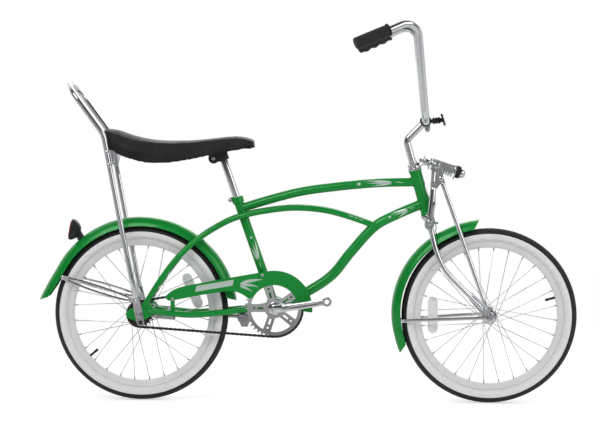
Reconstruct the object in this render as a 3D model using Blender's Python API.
"""Lowrider bicycle with a bent springer fork, banana seat, sissy bar and ape-hanger bar.

Sizes are in metres. X points forward, Y to the rider's left and Z up, with the
origin on the ground under the middle of the bicycle. Every sub-part is one
closed solid, and every piece that turns hangs from an empty on its own axis.
"""
import math

import bmesh
import bpy
import numpy as np
from mathutils import Matrix, Vector

# Overall sizes
WHEELBASE = 0.996
TYRE_RADIUS = 0.250
TYRE_WIDTH = 0.044
TAIL_REACH = 0.297
GAP = 0.0003

# Wheels
BEAD_RADIUS = 0.2004
RIM_EDGE_RADIUS = 0.212
RIM_INNER_RADIUS = 0.195
RIM_WIDTH = 0.027
SPOKE_COUNT = 28
SPOKE_RADIUS = 0.001
SPOKE_CROSSES = 3
WHEEL_STEPS = 24
AXLE_RADIUS = 0.00475
FRONT_HUB_WIDTH = 0.100
REAR_HUB_WIDTH = 0.110
REFLECTOR_LENGTH = 0.105
REFLECTOR_WIDTH = 0.028
REFLECTOR_CENTRE = 0.160

# Drive train
CHAIN_PITCH = 0.0127
CHAINWHEEL_TEETH = 40
SPROCKET_TEETH = 18
CHAIN_LINE = 0.043
CHAIN_INNER = 0.00165
CHAIN_HALF_WIDTH = 0.0038
ROLLER_HALF = 0.0036
PLATE_HALF = 0.0041
TOOTH_HALF_THICK = 0.0011
CRANK_LENGTH = 0.153
CRANK_ANGLE = math.radians(9.3)
BRACKET_RISE = 0.019
STAY_ROOM = 0.134

# Frame tubes
HEAD_LEAN = math.radians(16)
HEAD_LENGTH = 0.131
HEAD_RADIUS = 0.017
HEAD_BORE = HEAD_RADIUS - 0.0018
HEAD_SIDES = 14
TOP_TUBE_RADIUS = 0.0127
DOWN_TUBE_RADIUS = 0.0143
SEAT_TUBE_RADIUS = 0.0135
SEAT_TUBE_BORE = 0.0115
SEAT_SIDES = 14
SEAT_TUBE_LENGTH = 0.333
SEAT_TUBE_LEAN = math.radians(19.4)
ARCH_TUBE_RADIUS = 0.0085
STAY_RADIUS = 0.0088
SHELL_RADIUS = 0.029
SHELL_BORE = 0.0257
SHELL_WIDTH = 0.068
SHELL_SIDES = 16
DROPOUT_THICK = 0.005

# Steering and springer fork
STEERER_RADIUS = HEAD_BORE - 0.0025
STEERER_BORE = STEERER_RADIUS - 0.0012
QUILL_RADIUS = STEERER_BORE - 0.0004
CROWN_CLEARANCE = 0.067
CROWN_BEARING = math.radians(122.7)
CROWN_BARREL_RADIUS = 0.0115
CROWN_HALF_WIDTH = 0.025
LEG_RADIUS = 0.0075
STRUT_RADIUS = 0.0062
KNUCKLE_RISE = 0.1507
KNUCKLE_LEAD = 0.0628
SPRING_SLOPE = math.radians(18)
SPRING_FOOT = -0.0165
YOKE_FRONT = 0.054
SPRING_RADIUS = 0.020
SPRING_WIRE = 0.0027
SPRING_TURNS = 5
ROD_RADIUS = 0.004
YOKE_THICK = 0.004
YOKE_HOLE = 0.008

# Handlebar, seat and fenders
BAR_RADIUS = 0.0111
BAR_RISE = 0.278
BAR_TOP_WIDTH = 0.470
BAR_END_WIDTH = 0.590
GRIP_LENGTH = 0.105
POST_RADIUS = 0.0111
SEAT_LENGTH = 0.437
SEAT_WIDTH = 0.165
SISSY_RADIUS = 0.0075
FENDER_CLEARANCE = 0.026
FENDER_HALF_WIDTH = 0.029
FENDER_WALL = 0.0014
FLAT_ANGLE = math.radians(1.2)
BRIDGE_RADIUS = 0.006
KICK_LENGTH = 0.234

# Places that follow from the sizes above
REAR_X = (TAIL_REACH - WHEELBASE - TYRE_RADIUS) / 2
REAR_AXLE = Vector((REAR_X, 0, TYRE_RADIUS))
FRONT_AXLE = Vector((REAR_X + WHEELBASE, 0, TYRE_RADIUS))
FENDER_RADIUS = TYRE_RADIUS + FENDER_CLEARANCE
LEFT = Vector((0, 1, 0))
DOWN = Vector((0, 0, -1))


def pitch_radius(teeth):
    """Radius of the circle that the chain's pins follow round a toothed wheel."""
    return CHAIN_PITCH / (2 * math.sin(math.pi / teeth))


def chain_pitches(centres):
    """Length of the closed chain in pitches for a distance between the two wheels."""
    big, small = pitch_radius(CHAINWHEEL_TEETH), pitch_radius(SPROCKET_TEETH)
    tilt = math.asin((big - small) / centres)
    wraps = (math.pi + 2 * tilt) * CHAINWHEEL_TEETH + (math.pi - 2 * tilt) * SPROCKET_TEETH
    return 2 * centres * math.cos(tilt) / CHAIN_PITCH + wraps / (2 * math.pi)


def chain_fit(shortest):
    """Smallest even chain that reaches past a chainstay length, and the length that it needs."""
    pitches = 2 * math.ceil(chain_pitches(shortest) / 2)
    low, high = shortest, shortest + 2 * CHAIN_PITCH
    for _ in range(60):
        middle = (low + high) / 2
        low, high = (middle, high) if chain_pitches(middle) < pitches else (low, middle)
    return pitches, low


CHAIN_COUNT, STAY_LENGTH = chain_fit(TYRE_RADIUS + STAY_ROOM)
BRACKET = REAR_AXLE + Vector((math.sqrt(STAY_LENGTH ** 2 - BRACKET_RISE ** 2), 0, BRACKET_RISE))
SEAT_UP = Vector((-math.sin(SEAT_TUBE_LEAN), 0, math.cos(SEAT_TUBE_LEAN)))
SEAT_TOP = BRACKET + SEAT_UP * SEAT_TUBE_LENGTH
STEER_UP = Vector((-math.sin(HEAD_LEAN), 0, math.cos(HEAD_LEAN)))
STEER_AHEAD = Vector((math.cos(HEAD_LEAN), 0, math.sin(HEAD_LEAN)))
CROWN = FRONT_AXLE + Vector((math.cos(CROWN_BEARING), 0, math.sin(CROWN_BEARING))) * (
    TYRE_RADIUS + CROWN_CLEARANCE)
HEAD_START = 0.0225
HEAD_END = HEAD_START + HEAD_LENGTH
KNUCKLE = CROWN + STEER_UP * KNUCKLE_RISE + STEER_AHEAD * KNUCKLE_LEAD
ROD_AHEAD = Vector((math.cos(SPRING_SLOPE), 0, -math.sin(SPRING_SLOPE)))
ROD_UP = Vector((math.sin(SPRING_SLOPE), 0, math.cos(SPRING_SLOPE)))

FINISHES = {
    "green_paint": ((0.006, 0.235, 0.030), 0.22, 0.35),
    "chrome": ((0.78, 0.79, 0.81), 0.09, 1.0),
    "steel": ((0.42, 0.43, 0.45), 0.32, 1.0),
    "dark_steel": ((0.055, 0.052, 0.050), 0.40, 1.0),
    "cast_alloy": ((0.50, 0.51, 0.53), 0.42, 1.0),
    "black_plastic": ((0.012, 0.012, 0.013), 0.45, 0.0),
    "black_rubber": ((0.014, 0.014, 0.015), 0.72, 0.0),
    "black_vinyl": ((0.013, 0.013, 0.014), 0.50, 0.0),
    "white_rubber": ((0.80, 0.79, 0.77), 0.60, 0.0),
    "white_paint": ((0.74, 0.75, 0.76), 0.35, 0.0),
    "clear_lens": ((0.82, 0.83, 0.84), 0.12, 0.0),
}


def finish(name):
    """A Principled material with the named finish, made once."""
    if name in bpy.data.materials:
        return bpy.data.materials[name]
    colour, roughness, metallic = FINISHES[name]
    made = bpy.data.materials.new(name)
    made.use_nodes = True
    shader = made.node_tree.nodes["Principled BSDF"]
    shader.inputs["Base Color"].default_value = (*colour, 1)
    shader.inputs["Roughness"].default_value = roughness
    shader.inputs["Metallic"].default_value = metallic
    made.diffuse_color = (*colour, 1)
    return made


def pivot(name, place, parent=None):
    """An empty on a joint's axis, which carries the pieces that turn about it."""
    made = bpy.data.objects.new(name, None)
    made.empty_display_size = 0.03
    bpy.context.collection.objects.link(made)
    made.location = place
    if parent:
        made.parent = parent
        made.matrix_parent_inverse = Matrix.Translation(-world_place(parent))
    return made


def world_place(empty):
    """Where a pivot stands, since every pivot's own location is kept in world terms."""
    return Vector(empty.location)


def solid(name, mesh, surface, carrier=None, sharp=35):
    """An object for a finished mesh, shaded smooth where its faces meet gently."""
    mesh.name = name
    mesh.materials.clear()
    mesh.materials.append(finish(surface))
    mesh.shade_smooth()
    mesh.set_sharp_from_angle(angle=math.radians(sharp))
    made = bpy.data.objects.new(name, mesh)
    bpy.context.collection.objects.link(made)
    if carrier:
        made.parent = carrier
        made.matrix_parent_inverse = Matrix.Translation(-world_place(carrier))
    return made


def tool(mesh):
    """A hidden object that only cuts or joins another."""
    made = bpy.data.objects.new("tool", mesh)
    bpy.context.collection.objects.link(made)
    made.hide_render = True
    made.display_type = "WIRE"
    return made


def combine(target, operation, *meshes):
    """Cut the target with each mesh, or join each mesh to it."""
    for mesh in meshes:
        step = target.modifiers.new(operation.lower(), "BOOLEAN")
        step.operation = operation
        step.solver = "EXACT"
        step.object = tool(mesh)
    return target


def tidy(target):
    """Merge the faces that lie in one plane, once every cut and joint is on the target."""
    step = target.modifiers.new("flat faces", "DECIMATE")
    step.decimate_type = "DISSOLVE"
    step.angle_limit = FLAT_ANGLE


def cut(target, *meshes):
    """Take each mesh's volume out of the target."""
    return combine(target, "DIFFERENCE", *meshes)


def join(target, *meshes):
    """Fuse each mesh with the target."""
    return combine(target, "UNION", *meshes)


def finished(work, merge=1e-6):
    """A mesh from a bmesh, with doubles merged and faces turned outwards."""
    bmesh.ops.remove_doubles(work, verts=work.verts, dist=merge)
    bmesh.ops.recalc_face_normals(work, faces=work.faces)
    mesh = bpy.data.meshes.new("shape")
    work.to_mesh(mesh)
    work.free()
    return mesh


def standing(axis, ahead=None):
    """A rotation whose Z is the axis and whose X lies as near as it can to ahead."""
    up = Vector(axis).normalized()
    if ahead is None:
        ahead = Vector((1, 0, 0)) if abs(up.x) < 0.9 else Vector((0, 0, 1))
    first = (Vector(ahead) - up * up.dot(Vector(ahead))).normalized()
    second = up.cross(first)
    return Matrix((first, second, up)).transposed().to_4x4()


def turned(profile, place, axis, steps=16, start=0.0, closed=True):
    """A profile of radius and height pairs, spun round the axis. An open profile gets flat ends."""
    work = bmesh.new()
    ring = [work.verts.new((r * math.cos(start), r * math.sin(start), h)) for r, h in profile]
    count = len(ring) if closed else len(ring) - 1
    edges = [work.edges.new((ring[i], ring[(i + 1) % len(ring)])) for i in range(count)]
    bmesh.ops.spin(work, geom=ring + edges, cent=(0, 0, 0), axis=(0, 0, 1), dvec=(0, 0, 0),
                   angle=2 * math.pi, steps=steps, use_merge=True)
    bmesh.ops.remove_doubles(work, verts=work.verts, dist=1e-6)
    if not closed:
        bmesh.ops.holes_fill(work, edges=work.edges, sides=steps)
    bmesh.ops.transform(work, matrix=Matrix.Translation(place) @ standing(axis), verts=work.verts)
    return finished(work)


def rod(start, end, radius, steps=10):
    """A plain round bar between two points."""
    start, end = Vector(start), Vector(end)
    return turned([(radius, 0), (radius, (end - start).length)], start, end - start, steps,
                  closed=False)


def sleeve(start, end, radius, bore, steps=16):
    """A round tube with a bore between two points."""
    start, end = Vector(start), Vector(end)
    length = (end - start).length
    profile = [(radius, 0), (radius, length), (bore, length), (bore, 0)]
    return turned(profile, start, end - start, steps)


def hexagon(place, axis, across, height):
    """A six-sided nut or bolt head standing on the place."""
    radius = across / math.sqrt(3)
    return turned([(radius, 0), (radius, height)], place, axis, 6, 0.26, closed=False)


def smooth_path(points, steps):
    """Points along a smooth curve through the given ones, evenly split between each pair."""
    nodes = np.array([tuple(p) for p in points])
    along = np.concatenate([[0], np.cumsum(np.linalg.norm(np.diff(nodes, axis=0), axis=1) ** 0.5)])
    slope = np.gradient(nodes, along, axis=0, edge_order=1)
    found = [nodes[0]]
    for i in range(len(nodes) - 1):
        span = along[i + 1] - along[i]
        for t in np.linspace(0, 1, steps + 1)[1:]:
            found.append((2 * t ** 3 - 3 * t ** 2 + 1) * nodes[i]
                         + (t ** 3 - 2 * t ** 2 + t) * span * slope[i]
                         + (3 * t ** 2 - 2 * t ** 3) * nodes[i + 1]
                         + (t ** 3 - t ** 2) * span * slope[i + 1])
    return [Vector(p) for p in found]


def bent_path(corners, bends, step=0.4):
    """A straight-sided route whose inner corners are rounded to the given bend radii."""
    corners = [Vector(c) for c in corners]
    found = [corners[0]]
    for before, corner, after, bend in zip(corners, corners[1:], corners[2:], bends):
        towards, away = (before - corner).normalized(), (after - corner).normalized()
        half = towards.angle(away) / 2
        centre = corner + (towards + away).normalized() * (bend / math.sin(half))
        first, last = [corner + ray * (bend / math.tan(half)) - centre for ray in (towards, away)]
        sweep = first.angle(last)
        steps = math.ceil(sweep / step)
        for i in range(steps + 1):
            part = i / steps
            found.append(centre + (first * math.sin((1 - part) * sweep)
                                   + last * math.sin(part * sweep)) / math.sin(sweep))
    found.append(corners[-1])
    return found


def tube(points, radius, sides=8, radii=None, cyclic=False):
    """A round tube along a route, made as a bevelled curve and turned into a mesh."""
    curve = bpy.data.curves.new("route", "CURVE")
    curve.dimensions = "3D"
    curve.bevel_depth = radius
    curve.bevel_resolution = (sides - 4) // 2
    curve.use_fill_caps = not cyclic
    line = curve.splines.new("POLY")
    line.points.add(len(points) - 1)
    line.points.foreach_set("co", [c for p in points for c in (*p, 1)])
    if radii:
        line.points.foreach_set("radius", radii)
    line.use_cyclic_u = cyclic
    return mesh_of(curve)


def mesh_of(curve):
    """The mesh that a curve draws, with its seams closed."""
    carrier = bpy.data.objects.new("route", curve)
    bpy.context.collection.objects.link(carrier)
    drawn = bpy.data.meshes.new_from_object(
        carrier.evaluated_get(bpy.context.evaluated_depsgraph_get()))
    bpy.data.objects.remove(carrier)
    work = bmesh.new()
    work.from_mesh(drawn)
    return finished(work, 1e-5)


def plate(outline, thickness, place, across, ahead=(1, 0, 0), holes=()):
    """A flat plate of an outline with holes, its middle plane through the place."""
    curve = bpy.data.curves.new("outline", "CURVE")
    curve.dimensions = "2D"
    curve.fill_mode = "BOTH"
    curve.extrude = thickness / 2
    for loop in (outline, *holes):
        line = curve.splines.new("POLY")
        line.points.add(len(loop) - 1)
        line.points.foreach_set("co", [c for x, y in loop for c in (x, y, 0, 1)])
        line.use_cyclic_u = True
    mesh = mesh_of(curve)
    mesh.transform(Matrix.Translation(place) @ standing(across, ahead))
    return mesh


def side_plate(outline, thickness, y, holes=()):
    """A plate in a fore-and-aft plane. Its outline is in world X and Z."""
    flat = [[(x, -z) for x, z in loop] for loop in (outline, *holes)]
    return plate(flat[0], thickness, (0, y, 0), LEFT, holes=flat[1:])


def circle(centre, radius, steps=12, start=0.0):
    """Points round a circle in X and Z."""
    return [(centre[0] + radius * math.cos(start + 2 * math.pi * i / steps),
             centre[1] + radius * math.sin(start + 2 * math.pi * i / steps)) for i in range(steps)]


def flat(point):
    """A point's X and Z."""
    return point.x, point.z


def arc(centre, radius, first, last, steps):
    """Points along part of a circle in X and Z, angles in degrees from straight ahead."""
    angles = np.radians(np.linspace(first, last, steps + 1))
    return [(centre[0] + radius * math.cos(a), centre[1] + radius * math.sin(a)) for a in angles]


def wrapped(*circles, steps=12):
    """The outline of a band pulled tight round circles of a centre and a radius each."""
    points = sorted({p for centre, radius in circles for p in circle(centre, radius, steps)})
    sides = []
    for order in (points, points[::-1]):
        side = []
        for p in order:
            while len(side) > 1 and turn(side[-2], side[-1], p) <= 0:
                side.pop()
            side.append(p)
        sides += side[:-1]
    return sides


def turn(a, b, c):
    """Positive where the way from a through b to c bends left."""
    return (b[0] - a[0]) * (c[1] - a[1]) - (b[1] - a[1]) * (c[0] - a[0])


def slot(start, end, radius, steps=4):
    """A long hole with round ends between two centres in X and Z."""
    angle = math.degrees(math.atan2(end[1] - start[1], end[0] - start[0]))
    return (arc(end, radius, angle - 90, angle + 90, steps)
            + arc(start, radius, angle + 90, angle + 270, steps))


def loft(rings, capped=True):
    """A skin over rings that all have the same number of points, closed at both ends."""
    work = bmesh.new()
    rows = [[work.verts.new(p) for p in ring] for ring in rings]
    for near, far in zip(rows, rows[1:] if capped else rows[1:] + rows[:1]):
        for i in range(len(near)):
            j = (i + 1) % len(near)
            work.faces.new((near[i], near[j], far[j], far[i]))
    if capped:
        work.faces.new(rows[0])
        work.faces.new(rows[-1])
    return finished(work)


def strap(points, across, width, thickness, widths=None):
    """A flat strip bent along a route, as wide as width across it."""
    across = Vector(across).normalized()
    points = [Vector(p) for p in points]
    rings = []
    for i, point in enumerate(points):
        ahead = (points[min(i + 1, len(points) - 1)] - points[max(i - 1, 0)]).normalized()
        normal = ahead.cross(across).normalized()
        half = (widths[i] if widths else width) / 2
        rings.append([point + across * (half * u) + normal * (thickness / 2 * v)
                      for u, v in ((1, 1), (-1, 1), (-1, -1), (1, -1))])
    return loft(rings)


def bowed(start, end, stations):
    """Points off the chord from start to end, each by its share along, rise and side."""
    chord = end - start
    rise = Vector((-chord.z, 0, chord.x)).normalized()
    if rise.z < 0:
        rise.negate()
    return [start + chord * along + rise * up + LEFT * side for along, up, side in stations]


def ellipse_ring(centre, first, second, steps, power=1.0):
    """Points round an ellipse spanned by two half axes, squarer as the power falls."""
    found = []
    for i in range(steps):
        angle = 2 * math.pi * (i + 0.5) / steps
        c, s = math.cos(angle), math.sin(angle)
        found.append(centre + first * math.copysign(abs(c) ** power, c)
                     + second * math.copysign(abs(s) ** power, s))
    return found


def on_steerer(height, ahead=0.0, side=0.0):
    """A point by its height along the steering axis from the crown."""
    return CROWN + STEER_UP * height + STEER_AHEAD * ahead + LEFT * side


def on_rod(along, up=0.0, side=0.0):
    """A point by its place along the spring rod from the knuckle."""
    return KNUCKLE + ROD_AHEAD * along + ROD_UP * up + LEFT * side


# Frame
def frame_routes():
    """The middle lines of the frame's tubes, by name."""
    head_upper = on_steerer(HEAD_END - 0.035)
    head_lower = on_steerer(HEAD_START + 0.034)
    seat_joint = BRACKET + SEAT_UP * (SEAT_TUBE_LENGTH - 0.033)
    top = [head_upper, *bowed(head_upper, seat_joint,
           [(0.22, 0.014, 0), (0.45, 0.021, 0), (0.66, 0.022, 0), (0.86, 0.011, 0)]), seat_joint]
    down = [head_lower, *bowed(head_lower, BRACKET,
            [(0.16, 0.018, 0), (0.29, 0.026, 0), (0.49, 0.004, 0), (0.64, -0.018, 0),
             (0.80, -0.017, 0)]), BRACKET]
    routes = {"top": smooth_path(top, 2), "down": smooth_path(down, 2)}
    dropout = REAR_HUB_WIDTH / 2 + DROPOUT_THICK / 2
    beside_seat = SEAT_TUBE_RADIUS + ARCH_TUBE_RADIUS - 0.0008
    beside_fender = FENDER_HALF_WIDTH + ARCH_TUBE_RADIUS + 0.0035
    arch_front = Vector(routes["down"][4])
    arch_end = REAR_AXLE + Vector((0.011, 0, 0.022))
    inner = DOWN_TUBE_RADIUS - 0.005
    shape = [(0.00, 0.000, inner), (0.08, 0.046, inner + 0.002), (0.17, 0.090, inner + 0.006),
             (0.29, 0.128, 0.6 * inner + 0.4 * beside_seat + 0.004), (0.42, 0.149, beside_seat),
             (0.49, 0.155, beside_seat), (0.55, 0.156, beside_seat),
             (0.62, 0.149, beside_fender - 0.009), (0.69, 0.137, beside_fender),
             (0.76, 0.118, beside_fender + 0.004), (0.83, 0.091, beside_fender + 0.009),
             (0.92, 0.046, dropout - 0.001), (1.00, 0.0, dropout)]
    chord = (arch_end - arch_front).length
    scale = chord / 0.715
    for side, hand in ((-1, "right"), (1, "left")):
        points = bowed(arch_front, arch_end, [(a, up * scale, side * y) for a, up, y in shape])
        routes["arch_" + hand] = smooth_path(points, 1)
        beside_tyre = TYRE_WIDTH / 2 + STAY_RADIUS + 0.0035
        stay = bowed(BRACKET, REAR_AXLE, [
            (0.02, 0.0, side * (SHELL_WIDTH / 2 - STAY_RADIUS)),
            (0.20, -0.001, side * (SHELL_WIDTH / 2 - STAY_RADIUS + 0.002)),
            (0.40, -0.006, side * beside_tyre), (0.62, -0.008, side * (beside_tyre + 0.010)),
            (0.80, 0.001, side * (dropout - 0.003)), (0.93, 0.009, side * dropout)])
        routes["stay_" + hand] = smooth_path(stay, 2)
    return routes


ROUTES = frame_routes()


def at_distance(route, centre, distance):
    """The first place where a route comes as near to the centre, seen from the side."""
    def away(point):
        return math.hypot(point.x - centre.x, point.z - centre.z)
    for near, far in zip(route, route[1:]):
        if away(far) < distance <= away(near):
            return near.lerp(far, (away(near) - distance) / (away(near) - away(far)))
    return route[-1]


def seat_cutter():
    """The room that the seat tube takes, with a weld gap."""
    return rod(BRACKET, SEAT_TOP + SEAT_UP * 0.01, SEAT_TUBE_RADIUS + GAP, SEAT_SIDES)


def head_cutter():
    """The room that the head tube takes, with a weld gap."""
    return rod(on_steerer(HEAD_START), on_steerer(HEAD_END), HEAD_RADIUS + GAP, HEAD_SIDES)


def shell_cutter():
    """The room that the bottom bracket shell takes, with a weld gap."""
    half = LEFT * (SHELL_WIDTH / 2 + 0.002)
    return rod(BRACKET - half, BRACKET + half, SHELL_RADIUS + GAP, SHELL_SIDES)


def dropout_outline(grow=0.0):
    """The rear-facing dropout plate round the axle, with tongues to its two tubes."""
    x, z = flat(REAR_AXLE)
    arch_foot = (x + 0.019, z + 0.032)
    stay_foot = (x + 0.040, z + 0.009)
    return wrapped(((x - 0.026, z + 0.001), 0.013 + grow), ((x + 0.002, z - 0.012), 0.010 + grow),
                   (arch_foot, 0.007 + grow), (stay_foot, 0.0065 + grow))


def build_frame():
    """Tubes, dropouts and the small brackets that are welded to them."""
    solid("head_tube", sleeve(on_steerer(HEAD_START), on_steerer(HEAD_END), HEAD_RADIUS,
                              HEAD_BORE, HEAD_SIDES), "green_paint")
    half = LEFT * (SHELL_WIDTH / 2)
    solid("bottom_bracket_shell", sleeve(BRACKET - half, BRACKET + half, SHELL_RADIUS,
                                         SHELL_BORE, SHELL_SIDES), "green_paint")
    seat = solid("seat_tube", sleeve(BRACKET + SEAT_UP * 0.01, SEAT_TOP, SEAT_TUBE_RADIUS,
                                     SEAT_TUBE_BORE, SEAT_SIDES), "green_paint")
    cut(seat, shell_cutter())
    top = solid("top_tube", tube(ROUTES["top"], TOP_TUBE_RADIUS, 10), "green_paint")
    cut(top, head_cutter(), seat_cutter())
    down = solid("down_tube", tube(ROUTES["down"], DOWN_TUBE_RADIUS, 10), "green_paint")
    cut(down, head_cutter(), shell_cutter())
    x, z = flat(REAR_AXLE)
    slot_hole = slot((x - 0.060, z + 0.003), (x, z), AXLE_RADIUS + 0.0005)
    for side, hand in ((-1, "right"), (1, "left")):
        y = side * (REAR_HUB_WIDTH + DROPOUT_THICK) / 2
        arch = solid("arch_tube_" + hand, tube(ROUTES["arch_" + hand], ARCH_TUBE_RADIUS),
                     "green_paint")
        cut(arch, tube(ROUTES["down"], DOWN_TUBE_RADIUS + GAP, 10), seat_cutter(),
            side_plate(dropout_outline(GAP), DROPOUT_THICK + 2 * GAP, y))
        stay = solid("chainstay_" + hand, tube(ROUTES["stay_" + hand], STAY_RADIUS),
                     "green_paint")
        cut(stay, shell_cutter())
        join(stay, side_plate(dropout_outline(), DROPOUT_THICK, y))
        cut(stay, side_plate(slot_hole, 3 * DROPOUT_THICK, y))
    reach = at_distance(ROUTES["arch_right"], REAR_AXLE, FENDER_RADIUS + BRIDGE_RADIUS + 0.0008)
    arch = bpy.data.objects["arch_tube_right"]
    join(arch, rod(reach, reach - LEFT * (2 * reach.y), BRIDGE_RADIUS))
    cut(arch, tube(ROUTES["arch_left"], ARCH_TUBE_RADIUS + GAP))
    place = kickstand_place()
    stay = bpy.data.objects["chainstay_right"]
    across = ROUTES["stay_left"][4].y
    join(stay, side_plate(rectangle(place, 0.014, 0.002), 2 * across, 0))
    cut(stay, tube(ROUTES["stay_left"], STAY_RADIUS + GAP),
        rod(place + DOWN * 0.01, place - DOWN * 0.01, 0.0046))


def rectangle(centre, wide, tall):
    """An outline in X and Z from its half sizes."""
    x, z = flat(centre)
    return [(x - wide, z - tall), (x + wide, z - tall), (x + wide, z + tall), (x - wide, z + tall)]


def kickstand_place():
    """Middle of the plate between the chainstays, just ahead of the rear fender."""
    ahead = FENDER_RADIUS + 0.018
    share = ahead / (BRACKET.x - REAR_X)
    return Vector((REAR_X + ahead, 0, TYRE_RADIUS + BRACKET_RISE * share - 0.001))


def build_kickstand(carrier_place, carrier):
    """The cast head bolted under the frame's plate, and the leg folded back on the left."""
    place = kickstand_place()
    top = place.z - STAY_RADIUS - 0.0052
    rings = []
    for drop, ahead, length, width in ((0, 0, 0.019, 0.034), (0.008, 0, 0.019, 0.034),
                                       (0.010, 0, 0.0165, 0.030), (0.014, 0, 0.018, 0.031),
                                       (0.016, 0.001, 0.0155, 0.027), (0.020, 0.001, 0.017, 0.028),
                                       (0.022, 0.002, 0.014, 0.024), (0.036, 0.003, 0.010, 0.020)):
        centre = Vector((place.x + ahead, 0, top - drop))
        rings.append(ellipse_ring(centre, Vector((length, 0, 0)), LEFT * width, 8, 0.45))
    head = solid("kickstand_head", loft(rings), "cast_alloy")
    out = kick_axis()
    join(head, rod(carrier_place - out * 0.046, carrier_place + out * 0.0145, 0.010))
    cut(head, rod((place.x, 0, top - 0.05), (place.x, 0, top - 0.024), 0.009))
    join(head, rod((place.x, 0, top - 0.026), (place.x, 0, place.z + 0.004), 0.004),
         hexagon((place.x, 0, top - 0.0305), -DOWN, 0.013, 0.0067),
         hexagon((place.x, 0, place.z + 0.0023), -DOWN, 0.013, 0.006))
    back = Vector((-1, 0.055, 0.055)).normalized()
    eye = carrier_place + out * 0.0225
    knee = eye + back * 0.020
    foot = eye + back * KICK_LENGTH
    leg = solid("kickstand_leg", tube([eye - back * 0.004, knee, foot], 0.0055),
                "steel", carrier)
    join(leg, rod(eye - out * 0.0070, eye + out * 0.0065, 0.0095, 12),
         rod(foot - back * 0.012, foot + back * 0.004, 0.0085, 10))


def kick_axis():
    """The kickstand's pivot leans so that the leg swings outwards as it comes down."""
    lean = math.radians(4.3)
    return Vector((0, math.cos(lean), math.sin(lean)))


# Wheels
def tyre_profile():
    """Half-width and radius pairs round the tyre's section, from bead to bead."""
    wide = TYRE_WIDTH / 2
    side = [(BEAD_RADIUS, 0.0078), (RIM_EDGE_RADIUS + 0.0012, 0.0108), (TYRE_RADIUS - wide, wide),
            (TYRE_RADIUS - 0.008, 0.80 * wide)]
    return side + [(TYRE_RADIUS, 0)] + [(r, -h) for r, h in side[::-1]]


def rim_profile():
    """The rim is a channel open to the tyre, its floor inside the outer wall's line."""
    half = RIM_WIDTH / 2
    outside = [(RIM_EDGE_RADIUS, half - 0.0018), (RIM_EDGE_RADIUS, half), (RIM_INNER_RADIUS, 0.0075)]
    floor = [(BEAD_RADIUS - 0.0008, 0.0055 - half), (BEAD_RADIUS - 0.0008, half - 0.0055)]
    return outside + [(r, -h) for r, h in outside[::-1]] + floor


def spokes(place, flange, flange_at, twist):
    """Crossed spokes from two flanges to the rim, alternately heads in and heads out."""
    work = bmesh.new()
    swing = SPOKE_CROSSES * 4 * math.pi / SPOKE_COUNT
    for k in range(SPOKE_COUNT):
        side = 1 if k % 2 else -1
        trailing = 1 if (k // 2) % 2 else -1
        rim_angle = twist + 2 * math.pi * k / SPOKE_COUNT
        hub_angle = rim_angle + trailing * swing
        offset = flange_at[side] + side * trailing * 0.0019
        start = place + Vector((flange * math.cos(hub_angle), offset, flange * math.sin(hub_angle)))
        reach = RIM_INNER_RADIUS * math.cos(math.pi / WHEEL_STEPS) - 2 * GAP
        end = place + Vector((reach * math.cos(rim_angle), side * 0.003,
                              reach * math.sin(rim_angle)))
        made = bmesh.ops.create_cone(work, cap_ends=True, segments=3, radius1=SPOKE_RADIUS * 1.3,
                                     radius2=SPOKE_RADIUS * 1.3, depth=(end - start).length)
        turn_to = standing(end - start, LEFT)
        bmesh.ops.transform(work, matrix=Matrix.Translation((start + end) / 2) @ turn_to,
                            verts=made["verts"])
    return finished(work)


def hub_profile(flange, barrel, bore, right, left, thick=0.0026):
    """A hub shell with a flange at each end. Heights run from right to left."""
    rim, step = flange + 0.0032, thick / 2
    return [(bore, right - 0.008), (barrel + 0.001, right - 0.008), (rim, right - step),
            (rim, right + step), (barrel, right + step + 0.003), (barrel, left - step - 0.003),
            (rim, left - step), (rim, left + step), (barrel + 0.001, left + 0.008),
            (bore, left + 0.008)]


def build_wheel(label, place, hub, twist, valve_angle, reflector_angle, carrier):
    """Tyre, rim, spoked hub, valve and spoke reflector of one wheel."""
    solid(label + "_tyre", turned(tyre_profile(), place, LEFT, WHEEL_STEPS), "white_rubber",
          carrier, 30)
    rim = solid(label + "_rim", turned(rim_profile(), place, LEFT, WHEEL_STEPS), "white_paint",
                carrier, 40)
    middle = solid(label + "_hub_and_spokes",
                   turned(hub_profile(**hub), place, LEFT, 10), "chrome", carrier)
    join(middle, spokes(place, hub["flange"], {-1: hub["right"], 1: hub["left"]}, twist))
    out = Vector((math.cos(valve_angle), 0, math.sin(valve_angle)))
    length = 0.030
    valve = [(0.0030, 0), (0.0038, 0.003), (0.0038, 0.017), (0.0030, 0.018), (0.0030, length)]
    join(rim, turned(valve, place + out * (RIM_INNER_RADIUS + 0.001 - length), out, 6,
                     closed=False))
    out = Vector((math.cos(reflector_angle), 0, math.sin(reflector_angle)))
    tall, wide = REFLECTOR_WIDTH / 2, REFLECTOR_LENGTH / 2
    centre = place + out * REFLECTOR_CENTRE
    along = LEFT.cross(out)
    outline = [(sx * (wide - dx), sy * (tall - dy)) for sx, sy, corners in
               ((1, 1, ((0, 0.007), (0.010, 0))), (-1, 1, ((0.010, 0), (0, 0.007))),
                (-1, -1, ((0, 0.007), (0.010, 0))), (1, -1, ((0.010, 0), (0, 0.007))))
               for dx, dy in corners]
    solid(label + "_wheel_reflector", plate(outline, 0.0064, centre, LEFT, along), "clear_lens",
          carrier)


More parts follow.
